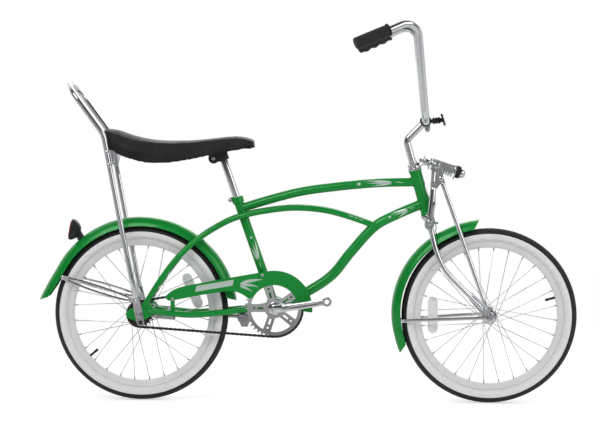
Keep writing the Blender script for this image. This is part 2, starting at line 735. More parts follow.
def build_axle(name, place, half, nut, inner, carrier=None):
    """An axle with a cone and locknut at each side, and flanged nuts outside the fork ends."""
    end = nut + 0.013
    side = [(0.008, inner), (0.008, half), (AXLE_RADIUS, half), (AXLE_RADIUS, end)]
    profile = [(r, -h) for r, h in side[::-1]] + [(AXLE_RADIUS, -inner), (AXLE_RADIUS, inner)] + side
    axle = solid(name, turned(profile, place, LEFT, 8, closed=False), "steel", carrier)
    for side in (-1, 1):
        join(axle, hexagon(place + LEFT * (side * nut), LEFT * side, 0.0155, 0.0090))


# Drive train
def tooth_outline(teeth, phase):
    """Toothed outline round the origin, with a tooth midway between two rollers."""
    pitch = pitch_radius(teeth)
    root = pitch - PLATE_HALF - 0.0005
    found = []
    for k in range(teeth):
        middle = phase + 2 * math.pi * (k + 0.5) / teeth
        for radius, half in ((root, -0.0018), (pitch + 0.0042, -0.0009), (pitch + 0.0042, 0.0009),
                             (root, 0.0018)):
            angle = middle + half / radius
            found.append((radius * math.cos(angle), radius * math.sin(angle)))
    return found


def chain_route():
    """Pin places round both wheels, and the turn of each wheel that its rollers need."""
    big, small = pitch_radius(CHAINWHEEL_TEETH), pitch_radius(SPROCKET_TEETH)
    line = BRACKET - REAR_AXLE
    slope = math.atan2(line.z, line.x)
    tilt = math.asin((big - small) / line.length)
    run = line.length * math.cos(tilt) / CHAIN_PITCH
    front = (math.pi + 2 * tilt) * CHAINWHEEL_TEETH / (2 * math.pi)
    rear = (math.pi - 2 * tilt) * SPROCKET_TEETH / (2 * math.pi)
    lower = slope - math.pi / 2 - tilt
    upper = slope + math.pi / 2 + tilt

    def at(share):
        """A point by its distance in pitches from where the chain meets the chainwheel below."""
        share %= CHAIN_COUNT
        if share <= front:
            angle = lower + share * 2 * math.pi / CHAINWHEEL_TEETH
            return BRACKET + Vector((big * math.cos(angle), 0, big * math.sin(angle)))
        share -= front
        leave = BRACKET + Vector((big * math.cos(upper), 0, big * math.sin(upper)))
        enter = REAR_AXLE + Vector((small * math.cos(upper), 0, small * math.sin(upper)))
        if share <= run:
            return leave.lerp(enter, share / run)
        share -= run
        if share <= rear:
            angle = upper + share * 2 * math.pi / SPROCKET_TEETH
            return REAR_AXLE + Vector((small * math.cos(angle), 0, small * math.sin(angle)))
        share -= rear
        leave = REAR_AXLE + Vector((small * math.cos(lower), 0, small * math.sin(lower)))
        enter = BRACKET + Vector((big * math.cos(lower), 0, big * math.sin(lower)))
        return leave.lerp(enter, share / run)

    front_turn = lower
    rear_first = math.ceil(front + run) - (front + run)
    rear_turn = upper + rear_first * 2 * math.pi / SPROCKET_TEETH
    return at, front_turn, rear_turn


def chain_mesh(at):
    """Two rows of side plates joined by a roller at every pin, as one solid."""
    work = bmesh.new()
    stretch = ROLLER_HALF / CHAIN_PITCH
    rows = []
    for k in range(CHAIN_COUNT):
        for share in (k - stretch, k + stretch):
            point = at(share)
            ahead = (at(share + 0.05) - at(share - 0.05)).normalized()
            up = Vector((-ahead.z, 0, ahead.x)) * PLATE_HALF
            rows.append([work.verts.new(point + up * level + LEFT * (side * y - CHAIN_LINE))
                         for side in (-1, 1)
                         for y, level in ((CHAIN_HALF_WIDTH, 1), (CHAIN_HALF_WIDTH, -1),
                                          (CHAIN_INNER, -1), (CHAIN_INNER, 1))])
    for i, near in enumerate(rows):
        far = rows[(i + 1) % len(rows)]
        roller = i % 2 == 0
        for base in (0, 4):
            for a, b in ((0, 1), (1, 2), (2, 3), (3, 0)):
                if not (roller and a == 2):
                    work.faces.new((near[base + a], near[base + b], far[base + b], far[base + a]))
        if roller:
            work.faces.new((near[2], near[3], near[7], near[6]))
            work.faces.new((far[2], far[3], far[7], far[6]))
            work.faces.new((near[3], far[3], far[7], near[7]))
            work.faces.new((near[2], far[2], far[6], near[6]))
    bmesh.ops.recalc_face_normals(work, faces=work.faces)
    bmesh.ops.dissolve_limit(work, angle_limit=0.002, verts=work.verts, edges=work.edges)
    return finished(work, 1e-7)


def build_drive(crank_pivot, sprocket_pivot):
    """Chainwheel, sprocket, chain and the one-piece crank with its bearing cups."""
    at, front_turn, rear_turn = chain_route()
    solid("chain", chain_mesh(at), "dark_steel", sharp=25)
    plane = LEFT * -CHAIN_LINE
    holes = chainwheel_windows()
    solid("chainwheel", plate(
        [(x, -z) for x, z in tooth_outline(CHAINWHEEL_TEETH, front_turn)], 2 * TOOTH_HALF_THICK,
        BRACKET + plane, LEFT, holes=[[(x, -z) for x, z in hole] for hole in holes]), "chrome",
        crank_pivot)
    body = solid("rear_sprocket", plate(
        [(x, -z) for x, z in tooth_outline(SPROCKET_TEETH, rear_turn)], 2 * TOOTH_HALF_THICK,
        REAR_AXLE + plane, LEFT), "dark_steel", sprocket_pivot)
    join(body, rod(REAR_AXLE - LEFT * (CHAIN_LINE + 0.0035), REAR_AXLE - LEFT * 0.0320, 0.0160, 12))
    cut(body, rod(REAR_AXLE - LEFT * 0.06, REAR_AXLE - LEFT * 0.03, 0.0090))
    for side, hand in ((-1, "right"), (1, "left")):
        face = BRACKET + LEFT * (side * SHELL_WIDTH / 2)
        profile = [(0.0135, -0.008), (SHELL_BORE - GAP, -0.008), (SHELL_BORE - GAP, GAP),
                   (SHELL_RADIUS - 0.001, GAP), (SHELL_RADIUS - 0.003, 0.0028), (0.0185, 0.0028)]
        solid("bracket_cup_" + hand, turned(profile, face, LEFT * side, SHELL_SIDES), "chrome")
    build_crank(crank_pivot)


def chainwheel_windows():
    """Five open windows between the spokes, and a slot down each spoke."""
    pitch = pitch_radius(CHAINWHEEL_TEETH)
    outer, inner = pitch - 0.0135, 0.026
    found = [circle((0, 0), 0.0123, 12)]
    for k in range(5):
        middle = math.radians(90 - 19 + 72 * k)
        wide_out, wide_in = 0.0115 / outer, 0.011 / inner
        half = math.radians(36)
        outside = [(outer, middle - half + wide_out + (2 * half - 2 * wide_out) * t)
                   for t in np.linspace(0, 1, 6)]
        inside = [(inner, middle + half - wide_in - (2 * half - 2 * wide_in) * t)
                  for t in np.linspace(0, 1, 3)]
        found.append([(r * math.cos(a), r * math.sin(a)) for r, a in outside + inside])
        spoke = middle + half
        ray = (math.cos(spoke), math.sin(spoke))
        found.append(slot((0.034 * ray[0], 0.034 * ray[1]), (0.046 * ray[0], 0.046 * ray[1]),
                          0.0028, 2))
        found.append(circle((0.0585 * ray[0], 0.0585 * ray[1]), 0.0030, 6))
    return found


def build_crank(carrier):
    """One forged bar from pedal eye to pedal eye through the bracket."""
    ray = Vector((math.cos(CRANK_ANGLE), 0, math.sin(CRANK_ANGLE)))
    square = Vector((-math.sin(CRANK_ANGLE), 0, math.cos(CRANK_ANGLE)))
    half = []
    for along, y, tall, thick, lean in (
            (0.143, 0.088, 0.0095, 0.0058, 0.0), (0.050, 0.080, 0.0104, 0.0076, 0.25),
            (0.014, 0.070, 0.0115, 0.0105, 0.75),
            (0.001, 0.058, 0.0112, 0.0112, 1.0), (0.0, 0.046, 0.0108, 0.0108, 1.0)):
        across = (LEFT * (1 - lean) + ray * lean).normalized()
        half.append((ray * along - LEFT * y, square * tall, across * thick))
    rings = [ellipse_ring(BRACKET + offset, tall, thick, 8, 0.75) for offset, tall, thick in half]
    rings += [ellipse_ring(BRACKET - offset, tall, thick, 8, 0.75)
              for offset, tall, thick in half[::-1]]
    crank = solid("crank", loft(rings), "chrome", carrier)
    stop = TOOTH_HALF_THICK + GAP - CHAIN_LINE
    join(crank, turned([(0.0190, stop), (0.0190, stop + 0.0042), (0.0146, stop + 0.0050),
                        (0.0146, -0.0318), (0.0118, -0.0300), (0.0118, 0.0300), (0.0146, 0.0318),
                        (0.0146, 0.0390)], BRACKET, LEFT, 10, closed=False))
    eyes = [BRACKET - (ray * CRANK_LENGTH - LEFT * 0.088) * side for side in (-1, 1)]
    for eye in eyes:
        join(crank, rod(eye - LEFT * 0.0062, eye + LEFT * 0.0062, 0.0135))
    for eye in eyes:
        cut(crank, rod(eye - LEFT * 0.012, eye + LEFT * 0.012, 0.00635, 8))


def guard_outline():
    """The chainguard's face in X and Z: a disc round the chainwheel and a tail to the rear."""
    x, z = flat(BRACKET)
    scale = STAY_LENGTH / 0.385
    disc = arc((x, z), 0.109, -5, 104, 10)
    tail = [(x - 0.110 * scale, z + 0.091), (x - 0.200 * scale, z + 0.074),
            (x - 0.271 * scale, z + 0.059), (x - 0.296 * scale, z + 0.047),
            (x - 0.312 * scale, z + 0.033), (x - 0.304 * scale, z + 0.021),
            (x - 0.285 * scale, z + 0.023), (x - 0.210 * scale, z + 0.038),
            (x - 0.137 * scale, z + 0.050), (x - 0.109, z + 0.049), (x - 0.090, z + 0.041),
            (x - 0.071, z + 0.027)]
    inner = arc((x, z), 0.068, 150, 24, 8) + [(x + 0.074, z + 0.012), (x + 0.081, z - 0.006)]
    return disc + tail + inner


def build_chainguard():
    """A stamped guard with a turned-in top edge, and its brackets to the frame."""
    outline = guard_outline()
    face = -(CHAIN_LINE + 0.0142)
    guard = solid("chainguard", side_plate(outline, 0.0014, face), "green_paint")
    lip = [Vector((x, face + 0.0058, z)) for x, z in outline[2:15]]
    middle = Vector((BRACKET.x, face + 0.0058, BRACKET.z))
    inset = []
    for i, point in enumerate(lip):
        ahead = (lip[min(i + 1, len(lip) - 1)] - lip[max(i - 1, 0)]).normalized()
        inward = Vector((-ahead.z, 0, ahead.x))
        if inward.dot(middle - point) < 0:
            inward.negate()
        inset.append(point + inward * 0.0009)
    join(guard, strap(inset, LEFT, 0.0125, 0.0014))
    x, top = BRACKET.x - 0.29 * STAY_LENGTH / 0.385, TYRE_RADIUS + STAY_RADIUS
    near_seat = BRACKET + SEAT_UP * 0.102
    join(guard, strap([(x, face + 0.0011, top + 0.044), (x, face + 0.0012, top + 0.030),
                       (x, face + 0.0065, top + 0.012), (x, face + 0.0065, top - 0.006)],
                      (1, 0, 0), 0.012, 0.0016),
         strap([near_seat, near_seat - LEFT * 0.030, near_seat - LEFT * 0.0530], SEAT_UP, 0.014,
               0.0016))
    cut(guard, tube(ROUTES["stay_right"], STAY_RADIUS + GAP), seat_cutter())


# Steering
def build_headset():
    """Two pressed cups, and the locknut that holds the perch plate down."""
    bore = STEERER_RADIUS + 0.0011
    low = [(HEAD_BORE - GAP, 0.010), (HEAD_BORE - GAP, -GAP), (HEAD_RADIUS + 0.0025, -GAP),
           (HEAD_RADIUS + 0.0035, -0.0062), (bore, -0.0062), (bore, 0.010)]
    solid("headset_cup_lower", turned(low, on_steerer(HEAD_START), STEER_UP, HEAD_SIDES), "chrome")
    high = [(r, -h) for r, h in low]
    solid("headset_cup_upper", turned(high, on_steerer(HEAD_END), STEER_UP, HEAD_SIDES), "chrome")


def build_steerer(carrier):
    """Steerer tube, crown barrel and the fender bolt through the crown."""
    top = HEAD_END + 0.021
    shape = [(STEERER_BORE, top), (STEERER_BORE, 0.016), (0.0040, 0.012), (0.0040, 0.006),
             (0.0140, 0.006), (0.0165, 0.0095), (0.0185, 0.0155), (STEERER_RADIUS, 0.0158),
             (STEERER_RADIUS, top)]
    steerer = solid("steerer_and_crown", turned(shape, CROWN, STEER_UP, 12), "chrome", carrier)
    half = LEFT * CROWN_HALF_WIDTH
    join(steerer, rod(CROWN - half, CROWN + half, CROWN_BARREL_RADIUS, 12))
    cut(steerer, rod(CROWN - half * 2, CROWN + half * 2, 0.0044))
    bolt = rod(CROWN - STEER_UP * 0.0078 + STEER_AHEAD * 0.006,
               CROWN - STEER_UP * 0.0078 + STEER_AHEAD * 0.023, 0.0028, 6)
    head = hexagon(CROWN - STEER_UP * 0.0078 + STEER_AHEAD * 0.0185, STEER_AHEAD, 0.0085, 0.0045)
    join(steerer, bolt, head)
    nut_at = HEAD_END + 0.0102
    nut = solid("headset_locknut", hexagon(on_steerer(nut_at), STEER_UP, 0.031, 0.0092), "chrome",
                carrier)
    cut(nut, rod(on_steerer(nut_at - 0.01), on_steerer(top), STEERER_RADIUS + GAP, 12))
    seat, end = CROWN_HALF_WIDTH + 0.0168, CROWN_HALF_WIDTH + 0.0225
    solid("crown_pivot_bolt", turned([(0.0078, -end), (0.0078, -seat), (0.0040, -seat),
                                      (0.0040, seat), (0.0078, seat), (0.0078, end)],
                                     CROWN, LEFT, 12, closed=False), "chrome", carrier)


def build_perch(carrier):
    """The plate that turns with the steerer and holds the spring's rod, with the rod's stack."""
    ring_at = HEAD_END + 0.0083
    hole = on_rod(-0.040)
    ring = on_steerer(ring_at)
    rise = hole - ring
    ahead, up = rise.dot(STEER_AHEAD), rise.dot(STEER_UP)
    foot = on_steerer(ring_at, ahead - 0.32 * up)
    perch = solid("spring_perch", turned([(STEERER_RADIUS + GAP, -0.0016), (0.0185, -0.0016),
                                          (0.0185, 0.0016), (STEERER_RADIUS + GAP, 0.0016)],
                                         ring, STEER_UP, 12), "chrome", carrier)
    join(perch, strap([on_steerer(ring_at, 0.0145), foot - STEER_AHEAD * 0.004,
                       foot + STEER_UP * 0.004, hole, hole + ROD_UP * 0.015], LEFT, 0.026, 0.0028))
    cut(perch, rod(on_rod(-0.055), on_rod(-0.025), ROD_RADIUS + 0.0008))
    front = YOKE_FRONT + YOKE_THICK
    cap = front + 0.0126
    shaft = solid("spring_rod", turned(
        [(ROD_RADIUS, -0.053), (ROD_RADIUS, cap), (0.0140, cap), (0.0148, cap + 0.003),
         (0.0125, cap + 0.010), (0.0070, cap + 0.0155)], KNUCKLE, ROD_AHEAD, 12, closed=False),
        "chrome", carrier)
    join(shaft, hexagon(on_rod(-0.0502), ROD_AHEAD, 0.0125, 0.0073))
    bore = ROD_RADIUS + GAP
    seat = [(bore, 0), (0.0125, 0), (0.0102, 0.0034), (0.0102, 0.0108),
            (SPRING_RADIUS - 0.001, 0.0150), (SPRING_RADIUS - 0.001, 0.0190), (bore, 0.0190)]
    solid("spring_seat", turned(seat, on_rod(-0.0358), ROD_AHEAD, 12), "chrome", carrier)
    bumper = [(bore, 0), (0.0168, 0), (0.0180, 0.004), (0.0168, 0.012), (bore, 0.012)]
    solid("front_bumper", turned(bumper, on_rod(front + GAP), ROD_AHEAD, 12), "black_rubber",
          carrier)


def coil_points(turns, per_turn, radius, length, dead=0.55):
    """A compression spring's centre line, with nearly closed turns at both ends."""
    count = int((turns + 2 * dead) * per_turn)
    total = turns + 2 * dead
    points = []
    for i in range(count + 1):
        at_turn = total * i / count
        live = min(max(at_turn - dead, 0), turns)
        shut = at_turn - live
        step = 2 * SPRING_WIRE + 0.0006
        height = shut * step + live * (length - 2 * dead * step) / turns
        angle = 2 * math.pi * at_turn
        points.append(Vector((radius * math.cos(angle), radius * math.sin(angle), height)))
    return points


def build_spring(carrier):
    """The main spring round the rod, seated between the rear seat and the yoke's front plate."""
    inset = SPRING_WIRE + GAP
    mean = SPRING_RADIUS - SPRING_WIRE
    length = YOKE_FRONT - SPRING_FOOT - 2 * inset
    points = coil_points(SPRING_TURNS, 8, mean, length)
    far = [(p, q) for i, p in enumerate(points) for q in points[i + 5:]]
    least = min((p - q).length for p, q in far) - 2 * SPRING_WIRE
    print("main spring: least gap between turns %.2f mm" % (1000 * least))
    mesh = tube(points, SPRING_WIRE, 6)
    mesh.transform(Matrix.Translation(on_rod(SPRING_FOOT + inset)) @ standing(ROD_AHEAD, ROD_UP))
    solid("main_spring", mesh, "chrome", carrier)


def build_yoke(carrier):
    """A cradle round the spring: two cheeks, a front plate and the two knuckle bolts."""
    front = YOKE_FRONT
    inner = SPRING_RADIUS + 0.0008
    disc = [(YOKE_HOLE, 0), (inner + YOKE_THICK, 0), (inner + YOKE_THICK, YOKE_THICK),
            (YOKE_HOLE, YOKE_THICK)]
    yoke = solid("spring_yoke", turned(disc, on_rod(front), ROD_AHEAD, 12, 0.2), "chrome", carrier)
    for side in (-1, 1):
        outline = wrapped(((0, 0), 0.0115), ((front + YOKE_THICK - 0.006, 0.0), 0.006), steps=10)
        cheek = plate(outline, YOKE_THICK, on_rod(0, 0, side * (inner + YOKE_THICK / 2)), LEFT,
                      ROD_AHEAD)
        outer = inner + YOKE_THICK
        join(yoke, cheek, turned([(0.0042, outer - 0.002), (0.0042, outer + 0.0068),
                                  (0.0088, outer + 0.0068), (0.0078, outer + 0.0108)],
                                 on_rod(0), LEFT * side, 10, closed=False))


LEG_SHAPE = ((0.885, 0.0135, 0.0338), (0.74, 0.0285, 0.0398), (0.56, 0.0355, 0.0465),
             (0.33, 0.0220, 0.0505), (0.09, 0.0030, 0.0532))
LEG_LUG = SPRING_RADIUS + 0.0008 + YOKE_THICK + 0.0035
LEG_EYE_Y = FRONT_HUB_WIDTH / 2 + 0.0032
STRUT_EYE_Y = LEG_EYE_Y + 0.0048
STAY_EYE_Y = STRUT_EYE_Y + 0.0041


def build_fork(carrier):
    """Bent legs, straight front struts and the fender on its stays: all turn on the crown bolt."""
    strut_top = KNUCKLE + Vector((0.0125, 0, -0.037))
    lug_foot = KNUCKLE + Vector((-0.0085, 0, -0.064))
    slot_ends = KNUCKLE + Vector((-0.004, 0, -0.021)), KNUCKLE + Vector((-0.006, 0, -0.046))
    crown_y = CROWN_HALF_WIDTH + 0.0083
    span = CROWN - FRONT_AXLE
    behind = LEFT.cross(span).normalized()
    for side, hand in ((-1, "right"), (1, "left")):
        out = LEFT * side
        points = [lug_foot + out * LEG_LUG,
                  lug_foot.lerp(CROWN, 0.45) + Vector((0.001, 0, 0)) + out * (LEG_LUG + 0.002),
                  CROWN + out * crown_y]
        points += [FRONT_AXLE + span * share + behind * bow + out * wide
                   for share, bow, wide in LEG_SHAPE]
        route = smooth_path(points, 2)
        thin = [1.0 - 0.22 * max(0, i - 5) / (len(route) - 6) for i in range(len(route))]
        leg = solid("fork_leg_" + hand, tube(route, LEG_RADIUS, 8, thin), "chrome", carrier)
        top_y = LEG_LUG + 0.0052
        route = smooth_path([strut_top + Vector((0.004, 0, -0.012)) + out * top_y,
                             strut_top.lerp(FRONT_AXLE, 0.12) + out * (top_y + 0.001),
                             strut_top.lerp(FRONT_AXLE, 0.30) + out * (top_y + 0.006),
                             strut_top.lerp(FRONT_AXLE, 0.94) + out * STRUT_EYE_Y], 2)
        strut = tube(route, STRUT_RADIUS, 6, [0.6, 0.85, 1, 1, 1, 1, 0.7])
        lug = wrapped((flat(KNUCKLE), 0.0120), (flat(lug_foot), 0.0078), (flat(strut_top), 0.0085),
                      steps=10)
        ear = wrapped((flat(strut_top), 0.0082), (flat(route[1]), 0.0050), steps=8)
        eye = wrapped((flat(FRONT_AXLE), 0.0115), (flat(points[-1]), 0.0060),
                      (flat(route[-1]), 0.0055), steps=10)
        join(leg, side_plate(lug, 0.006, side * LEG_LUG), side_plate(ear, 0.004, side * top_y),
             strut, side_plate(eye, STRUT_EYE_Y - LEG_EYE_Y + 0.005,
                               side * (STRUT_EYE_Y + LEG_EYE_Y) / 2),
             rod(strut_top + out * (LEG_LUG - 0.0045), strut_top + out * (top_y + 0.0048), 0.0052, 8),
             rod(CROWN + out * (CROWN_HALF_WIDTH + GAP), CROWN + out * (CROWN_HALF_WIDTH + 0.0165),
                 0.0112, 12))
        through = out * 0.09
        cut(leg, rod(KNUCKLE, KNUCKLE + through, 0.0047), rod(CROWN, CROWN + through, 0.0045),
            rod(FRONT_AXLE, FRONT_AXLE + through, AXLE_RADIUS + 0.0005),
            side_plate(slot(flat(slot_ends[0]), flat(slot_ends[1]), 0.0022, 2), 0.02,
                       side * LEG_LUG))


# Handlebar and stem
CLAMP = CROWN + Vector((-0.0135, 0, 0.288))


def build_stem(carrier):
    """A gooseneck stem: quill, arm and a split clamp round the bar."""
    bend_at = on_steerer(0.243)
    route = bent_path([on_steerer(HEAD_END - 0.045), bend_at, CLAMP], [0.016])
    stem = solid("stem", tube(route[:-1] + [CLAMP - (CLAMP - bend_at).normalized() * 0.006],
                              QUILL_RADIUS, 10), "chrome", carrier)
    wide = LEFT * 0.019
    ear = CLAMP + Vector((0.006, 0, -0.024))
    join(stem, rod(CLAMP - wide, CLAMP + wide, BAR_RADIUS + 0.0055, 12),
         side_plate(wrapped((flat(CLAMP + Vector((0.004, 0, -0.010))), 0.0085), (flat(ear), 0.0078)),
                    0.022, 0))
    cut(stem, rod(CLAMP - wide * 2, CLAMP + wide * 2, BAR_RADIUS + 2 * GAP, 12))
    join(stem, hexagon(ear - LEFT * 0.0105, -LEFT, 0.0095, 0.0052),
         hexagon(ear + LEFT * 0.0105, LEFT, 0.0095, 0.0052))


def bar_route(side):
    """Half of the ape-hanger bar, from the clamp out to one end."""
    lean = math.radians(5.4)
    up = Vector((-math.sin(lean), 0, math.cos(lean)))
    top_y, end_y = BAR_TOP_WIDTH / 2, BAR_END_WIDTH / 2
    low = CLAMP + LEFT * (side * 0.098)
    high = CLAMP + up * (BAR_RISE + 0.009) + LEFT * (side * top_y)
    end = high + Vector((-0.165, side * (end_y - top_y), -0.072))
    return [CLAMP, low, high, end]


def build_bar(carrier):
    """The handlebar in one bent tube, with a ribbed grip on each end."""
    right, left = bar_route(-1), bar_route(1)
    half_right = bent_path(right, [0.060, 0.046], 0.5)
    half_left = bent_path(left, [0.060, 0.046], 0.5)
    solid("handlebar", tube(half_right[::-1] + half_left[1:], BAR_RADIUS), "chrome", carrier)
    for corners, hand in ((right, "right"), (left, "left")):
        back = (corners[3] - corners[2]).normalized()
        end = corners[3]
        down = (DOWN - back * back.dot(DOWN)).normalized()
        aside = back.cross(down)
        rings = []
        stations = [(-GRIP_LENGTH, 0.0178, 0.0)]
        for k in range(3):
            start = -GRIP_LENGTH + 0.012 + k * 0.0285
            stations += [(start, 0.0162, 0.0038), (start + 0.0140, 0.0158, 0.0002)]
        stations += [(-0.008, 0.0168, 0.0036), (0.0045, 0.0168, 0.0)]
        for along, radius, rib in stations:
            centre = end + back * along + down * (rib * 0.5)
            rings.append(ellipse_ring(centre, aside * radius, down * (radius + rib * 0.5), 8))
        grip = solid("grip_" + hand, loft(rings), "black_rubber", carrier)
        cut(grip, rod(end - back * (GRIP_LENGTH + 0.01), end + back * GAP, BAR_RADIUS + 2 * GAP, 12))


def build_front_reflector(carrier):
    """A bracket that grips the bar beside the stem, with a round-cornered lens ahead."""
    side = -0.0275
    centre = CLAMP + LEFT * side
    tilt = math.radians(17)
    ahead = Vector((math.cos(tilt), 0, -math.sin(tilt) * 0.2)).normalized()
    face = Vector((math.cos(tilt), 0, math.sin(tilt)))
    up = Vector((-math.sin(tilt), 0, math.cos(tilt)))
    hub = centre + ahead * 0.046 + Vector((0, -side * 0.4, 0.006))
    bracket = solid("front_reflector",
                    rod(centre - LEFT * 0.0055, centre + LEFT * 0.0055, BAR_RADIUS + 0.0045, 14),
                    "black_plastic", carrier)
    join(bracket, rod(centre + ahead * 0.012, hub, 0.0058, 12))
    back = ellipse_plate(hub + face * 0.001, LEFT, up, 0.021, 0.018, face, 0.005)
    join(bracket, back)
    cut(bracket, rod(centre - LEFT * 0.02, centre + LEFT * 0.02, BAR_RADIUS + 2 * GAP, 12))
    join(bracket, ellipse_plate(hub + face * 0.0055, LEFT, up, 0.0195, 0.0165, face, 0.0040))


def ellipse_plate(place, first, second, wide, tall, face, thick, steps=10):
    """A squarish plate with rounded corners, standing on the place along its face."""
    return loft([ellipse_ring(place + face * level, first * (wide - inset), second * (tall - inset),
                              steps, 0.55)
                 for level, inset in ((0, 0), (thick * 0.7, 0), (thick, thick * 0.3))])


# Seat
def seat_lines():
    """Stations along the seat from tail to nose: share, top, side height, edge, half width."""
    return [(0.000, 0.018, 0.008, -0.012, 0.34), (0.030, 0.020, 0.010, -0.022, 0.60),
            (0.090, 0.010, 0.002, -0.036, 0.84), (0.200, 0.000, -0.010, -0.055, 0.98),
            (0.330, -0.009, -0.020, -0.066, 1.00), (0.460, -0.013, -0.023, -0.064, 0.94),
            (0.590, -0.012, -0.021, -0.056, 0.81), (0.710, -0.007, -0.016, -0.046, 0.67),
            (0.830, -0.001, -0.009, -0.036, 0.57), (0.930, 0.001, -0.008, -0.030, 0.51),
            (0.975, -0.004, -0.011, -0.027, 0.44), (1.000, -0.012, -0.016, -0.024, 0.30)]


SEAT_TAIL = BRACKET + Vector((-0.495, 0, 0.4885))
SEAT_POST_TOP = SEAT_TOP + SEAT_UP * 0.118


def seat_floor(share):
    """Height of the seat's edge at a share of its length, as an offset from the datum."""
    stations = seat_lines()
    return float(np.interp(share, [s[0] for s in stations], [s[3] for s in stations]))


def build_seat():
    """Banana cushion over a steel pan, clamped to the post and strapped to the sissy bar."""
    rings = []
    for share, top, side, edge, wide in seat_lines():
        x = SEAT_TAIL.x + SEAT_LENGTH * share
        half = SEAT_WIDTH / 2 * wide
        z = SEAT_TAIL.z
        floor = edge + min(0.010, (top - edge) * 0.3)
        section = [(0.0, top), (0.45, top - 0.002), (0.80, 0.35 * top + 0.65 * side),
                   (0.97, 0.6 * side + 0.4 * edge), (1.0, edge + 0.006), (0.95, edge),
                   (0.80, floor), (0.0, floor)]
        ring = [Vector((x, half * u, z + v)) for u, v in section]
        ring += [Vector((x, -half * u, z + v)) for u, v in section[-2:0:-1]]
        rings.append(ring)
    solid("seat_cushion", loft(rings), "black_vinyl", sharp=50)
    rings = []
    drop = 0.004
    for share, inset in ((0.14, 0.60), (0.200, 0.68), (0.330, 0.72), (0.460, 0.68), (0.590, 0.60),
                         (0.710, 0.50), (0.830, 0.42), (0.930, 0.36)):
        x = SEAT_TAIL.x + SEAT_LENGTH * share
        stations = seat_lines()
        shares = [s[0] for s in stations]
        floor = [s[3] + min(0.010, (s[1] - s[3]) * 0.3) for s in stations]
        z = SEAT_TAIL.z + float(np.interp(share, shares, floor)) - GAP - 0.0012
        half = SEAT_WIDTH / 2 * inset
        rings.append([Vector((x, half, z)), Vector((x, -half, z)), Vector((x, -half * 0.9, z - drop)),
                      Vector((x, half * 0.9, z - drop))])
    build_seat_straps(solid("seat_pan", loft(rings), "steel"))
    build_seat_clamp()


def build_seat_clamp():
    """The post, its clamp under the pan, the collar on the seat tube and the collar's bolt."""
    foot = SEAT_TOP - SEAT_UP * 0.070
    solid("seat_post", rod(foot, SEAT_POST_TOP, POST_RADIUS, SEAT_SIDES), "chrome")
    collar = solid("seat_collar", sleeve(SEAT_TOP - SEAT_UP * 0.016, SEAT_TOP + SEAT_UP * 0.001,
                                         SEAT_TUBE_RADIUS + 0.0036, SEAT_TUBE_RADIUS + GAP,
                                         SEAT_SIDES),
                   "green_paint")
    ear = SEAT_TOP - SEAT_UP * 0.0075 - Vector((math.cos(SEAT_TUBE_LEAN), 0, 0)) * 0.0225
    lug = side_plate(wrapped((flat(ear), 0.0062), (flat(ear + Vector((0.0055, 0, 0.002))), 0.0062),
                             steps=8), 0.016, 0)
    join(collar, lug)
    cut(collar, seat_cutter())
    join(collar, rod(ear - LEFT * 0.0125, ear - LEFT * 0.0070, 0.0052, 8),
         hexagon(ear + LEFT * 0.0070, LEFT, 0.010, 0.0052))
    share = (SEAT_POST_TOP.x - SEAT_TAIL.x) / SEAT_LENGTH
    floor = SEAT_TAIL.z + seat_floor(share)
    middle = SEAT_POST_TOP - SEAT_UP * 0.013
    clamp = solid("seat_clamp", turned([(0.0095, -0.026), (0.0095, -0.014), (0.0175, -0.013),
                                        (0.0175, 0.013), (0.0095, 0.014), (0.0095, 0.026)],
                                       middle, LEFT, 10, closed=False), "black_plastic")
    top = floor - 0.0002 - middle.z
    for side in (-1, 1):
        y = side * 0.0215
        wing = wrapped(((middle.x, middle.z), 0.0120), ((middle.x - 0.016, floor - 0.0045), 0.004),
                       ((middle.x + 0.020, floor - 0.0045), 0.004), steps=8)
        join(clamp, side_plate(wing, 0.004, y))
    cut(clamp, rod(foot, SEAT_POST_TOP + SEAT_UP * 0.03, POST_RADIUS + GAP, SEAT_SIDES))
    trim_to_pan(clamp, top)


def trim_to_pan(target, reach):
    """Cut a seat bracket off just under the pan, along the pan's own floor."""
    rings = []
    stations = seat_lines()
    shares = [s[0] for s in stations]
    floor = [s[3] + min(0.010, (s[1] - s[3]) * 0.3) for s in stations]
    for share in (0.0, 0.14, 0.25, 0.38, 0.52, 0.66, 0.80, 1.0):
        x = SEAT_TAIL.x + SEAT_LENGTH * share
        z = SEAT_TAIL.z + float(np.interp(share, shares, floor)) - 2 * GAP - 0.0052
        half = SEAT_WIDTH * 0.7
        rings.append([Vector((x, half, z)), Vector((x, -half, z)), Vector((x, -half, z + 0.15)),
                      Vector((x, half, z + 0.15))])
    cut(target, loft(rings))


# Sissy bar, fenders and rear fittings
def sissy_route():
    """One leg of the sissy bar from above the axle to the top of the hoop, on the right."""
    foot = REAR_AXLE + Vector((-0.0215, -0.0705, 0.105))
    mid = REAR_AXLE + Vector((-0.0600, -0.0740, 0.300))
    bend = REAR_AXLE + Vector((-0.1000, -0.0790, 0.512))
    top = REAR_AXLE + Vector((-0.2050, -0.0790, 0.655))
    return foot, mid, bend, top


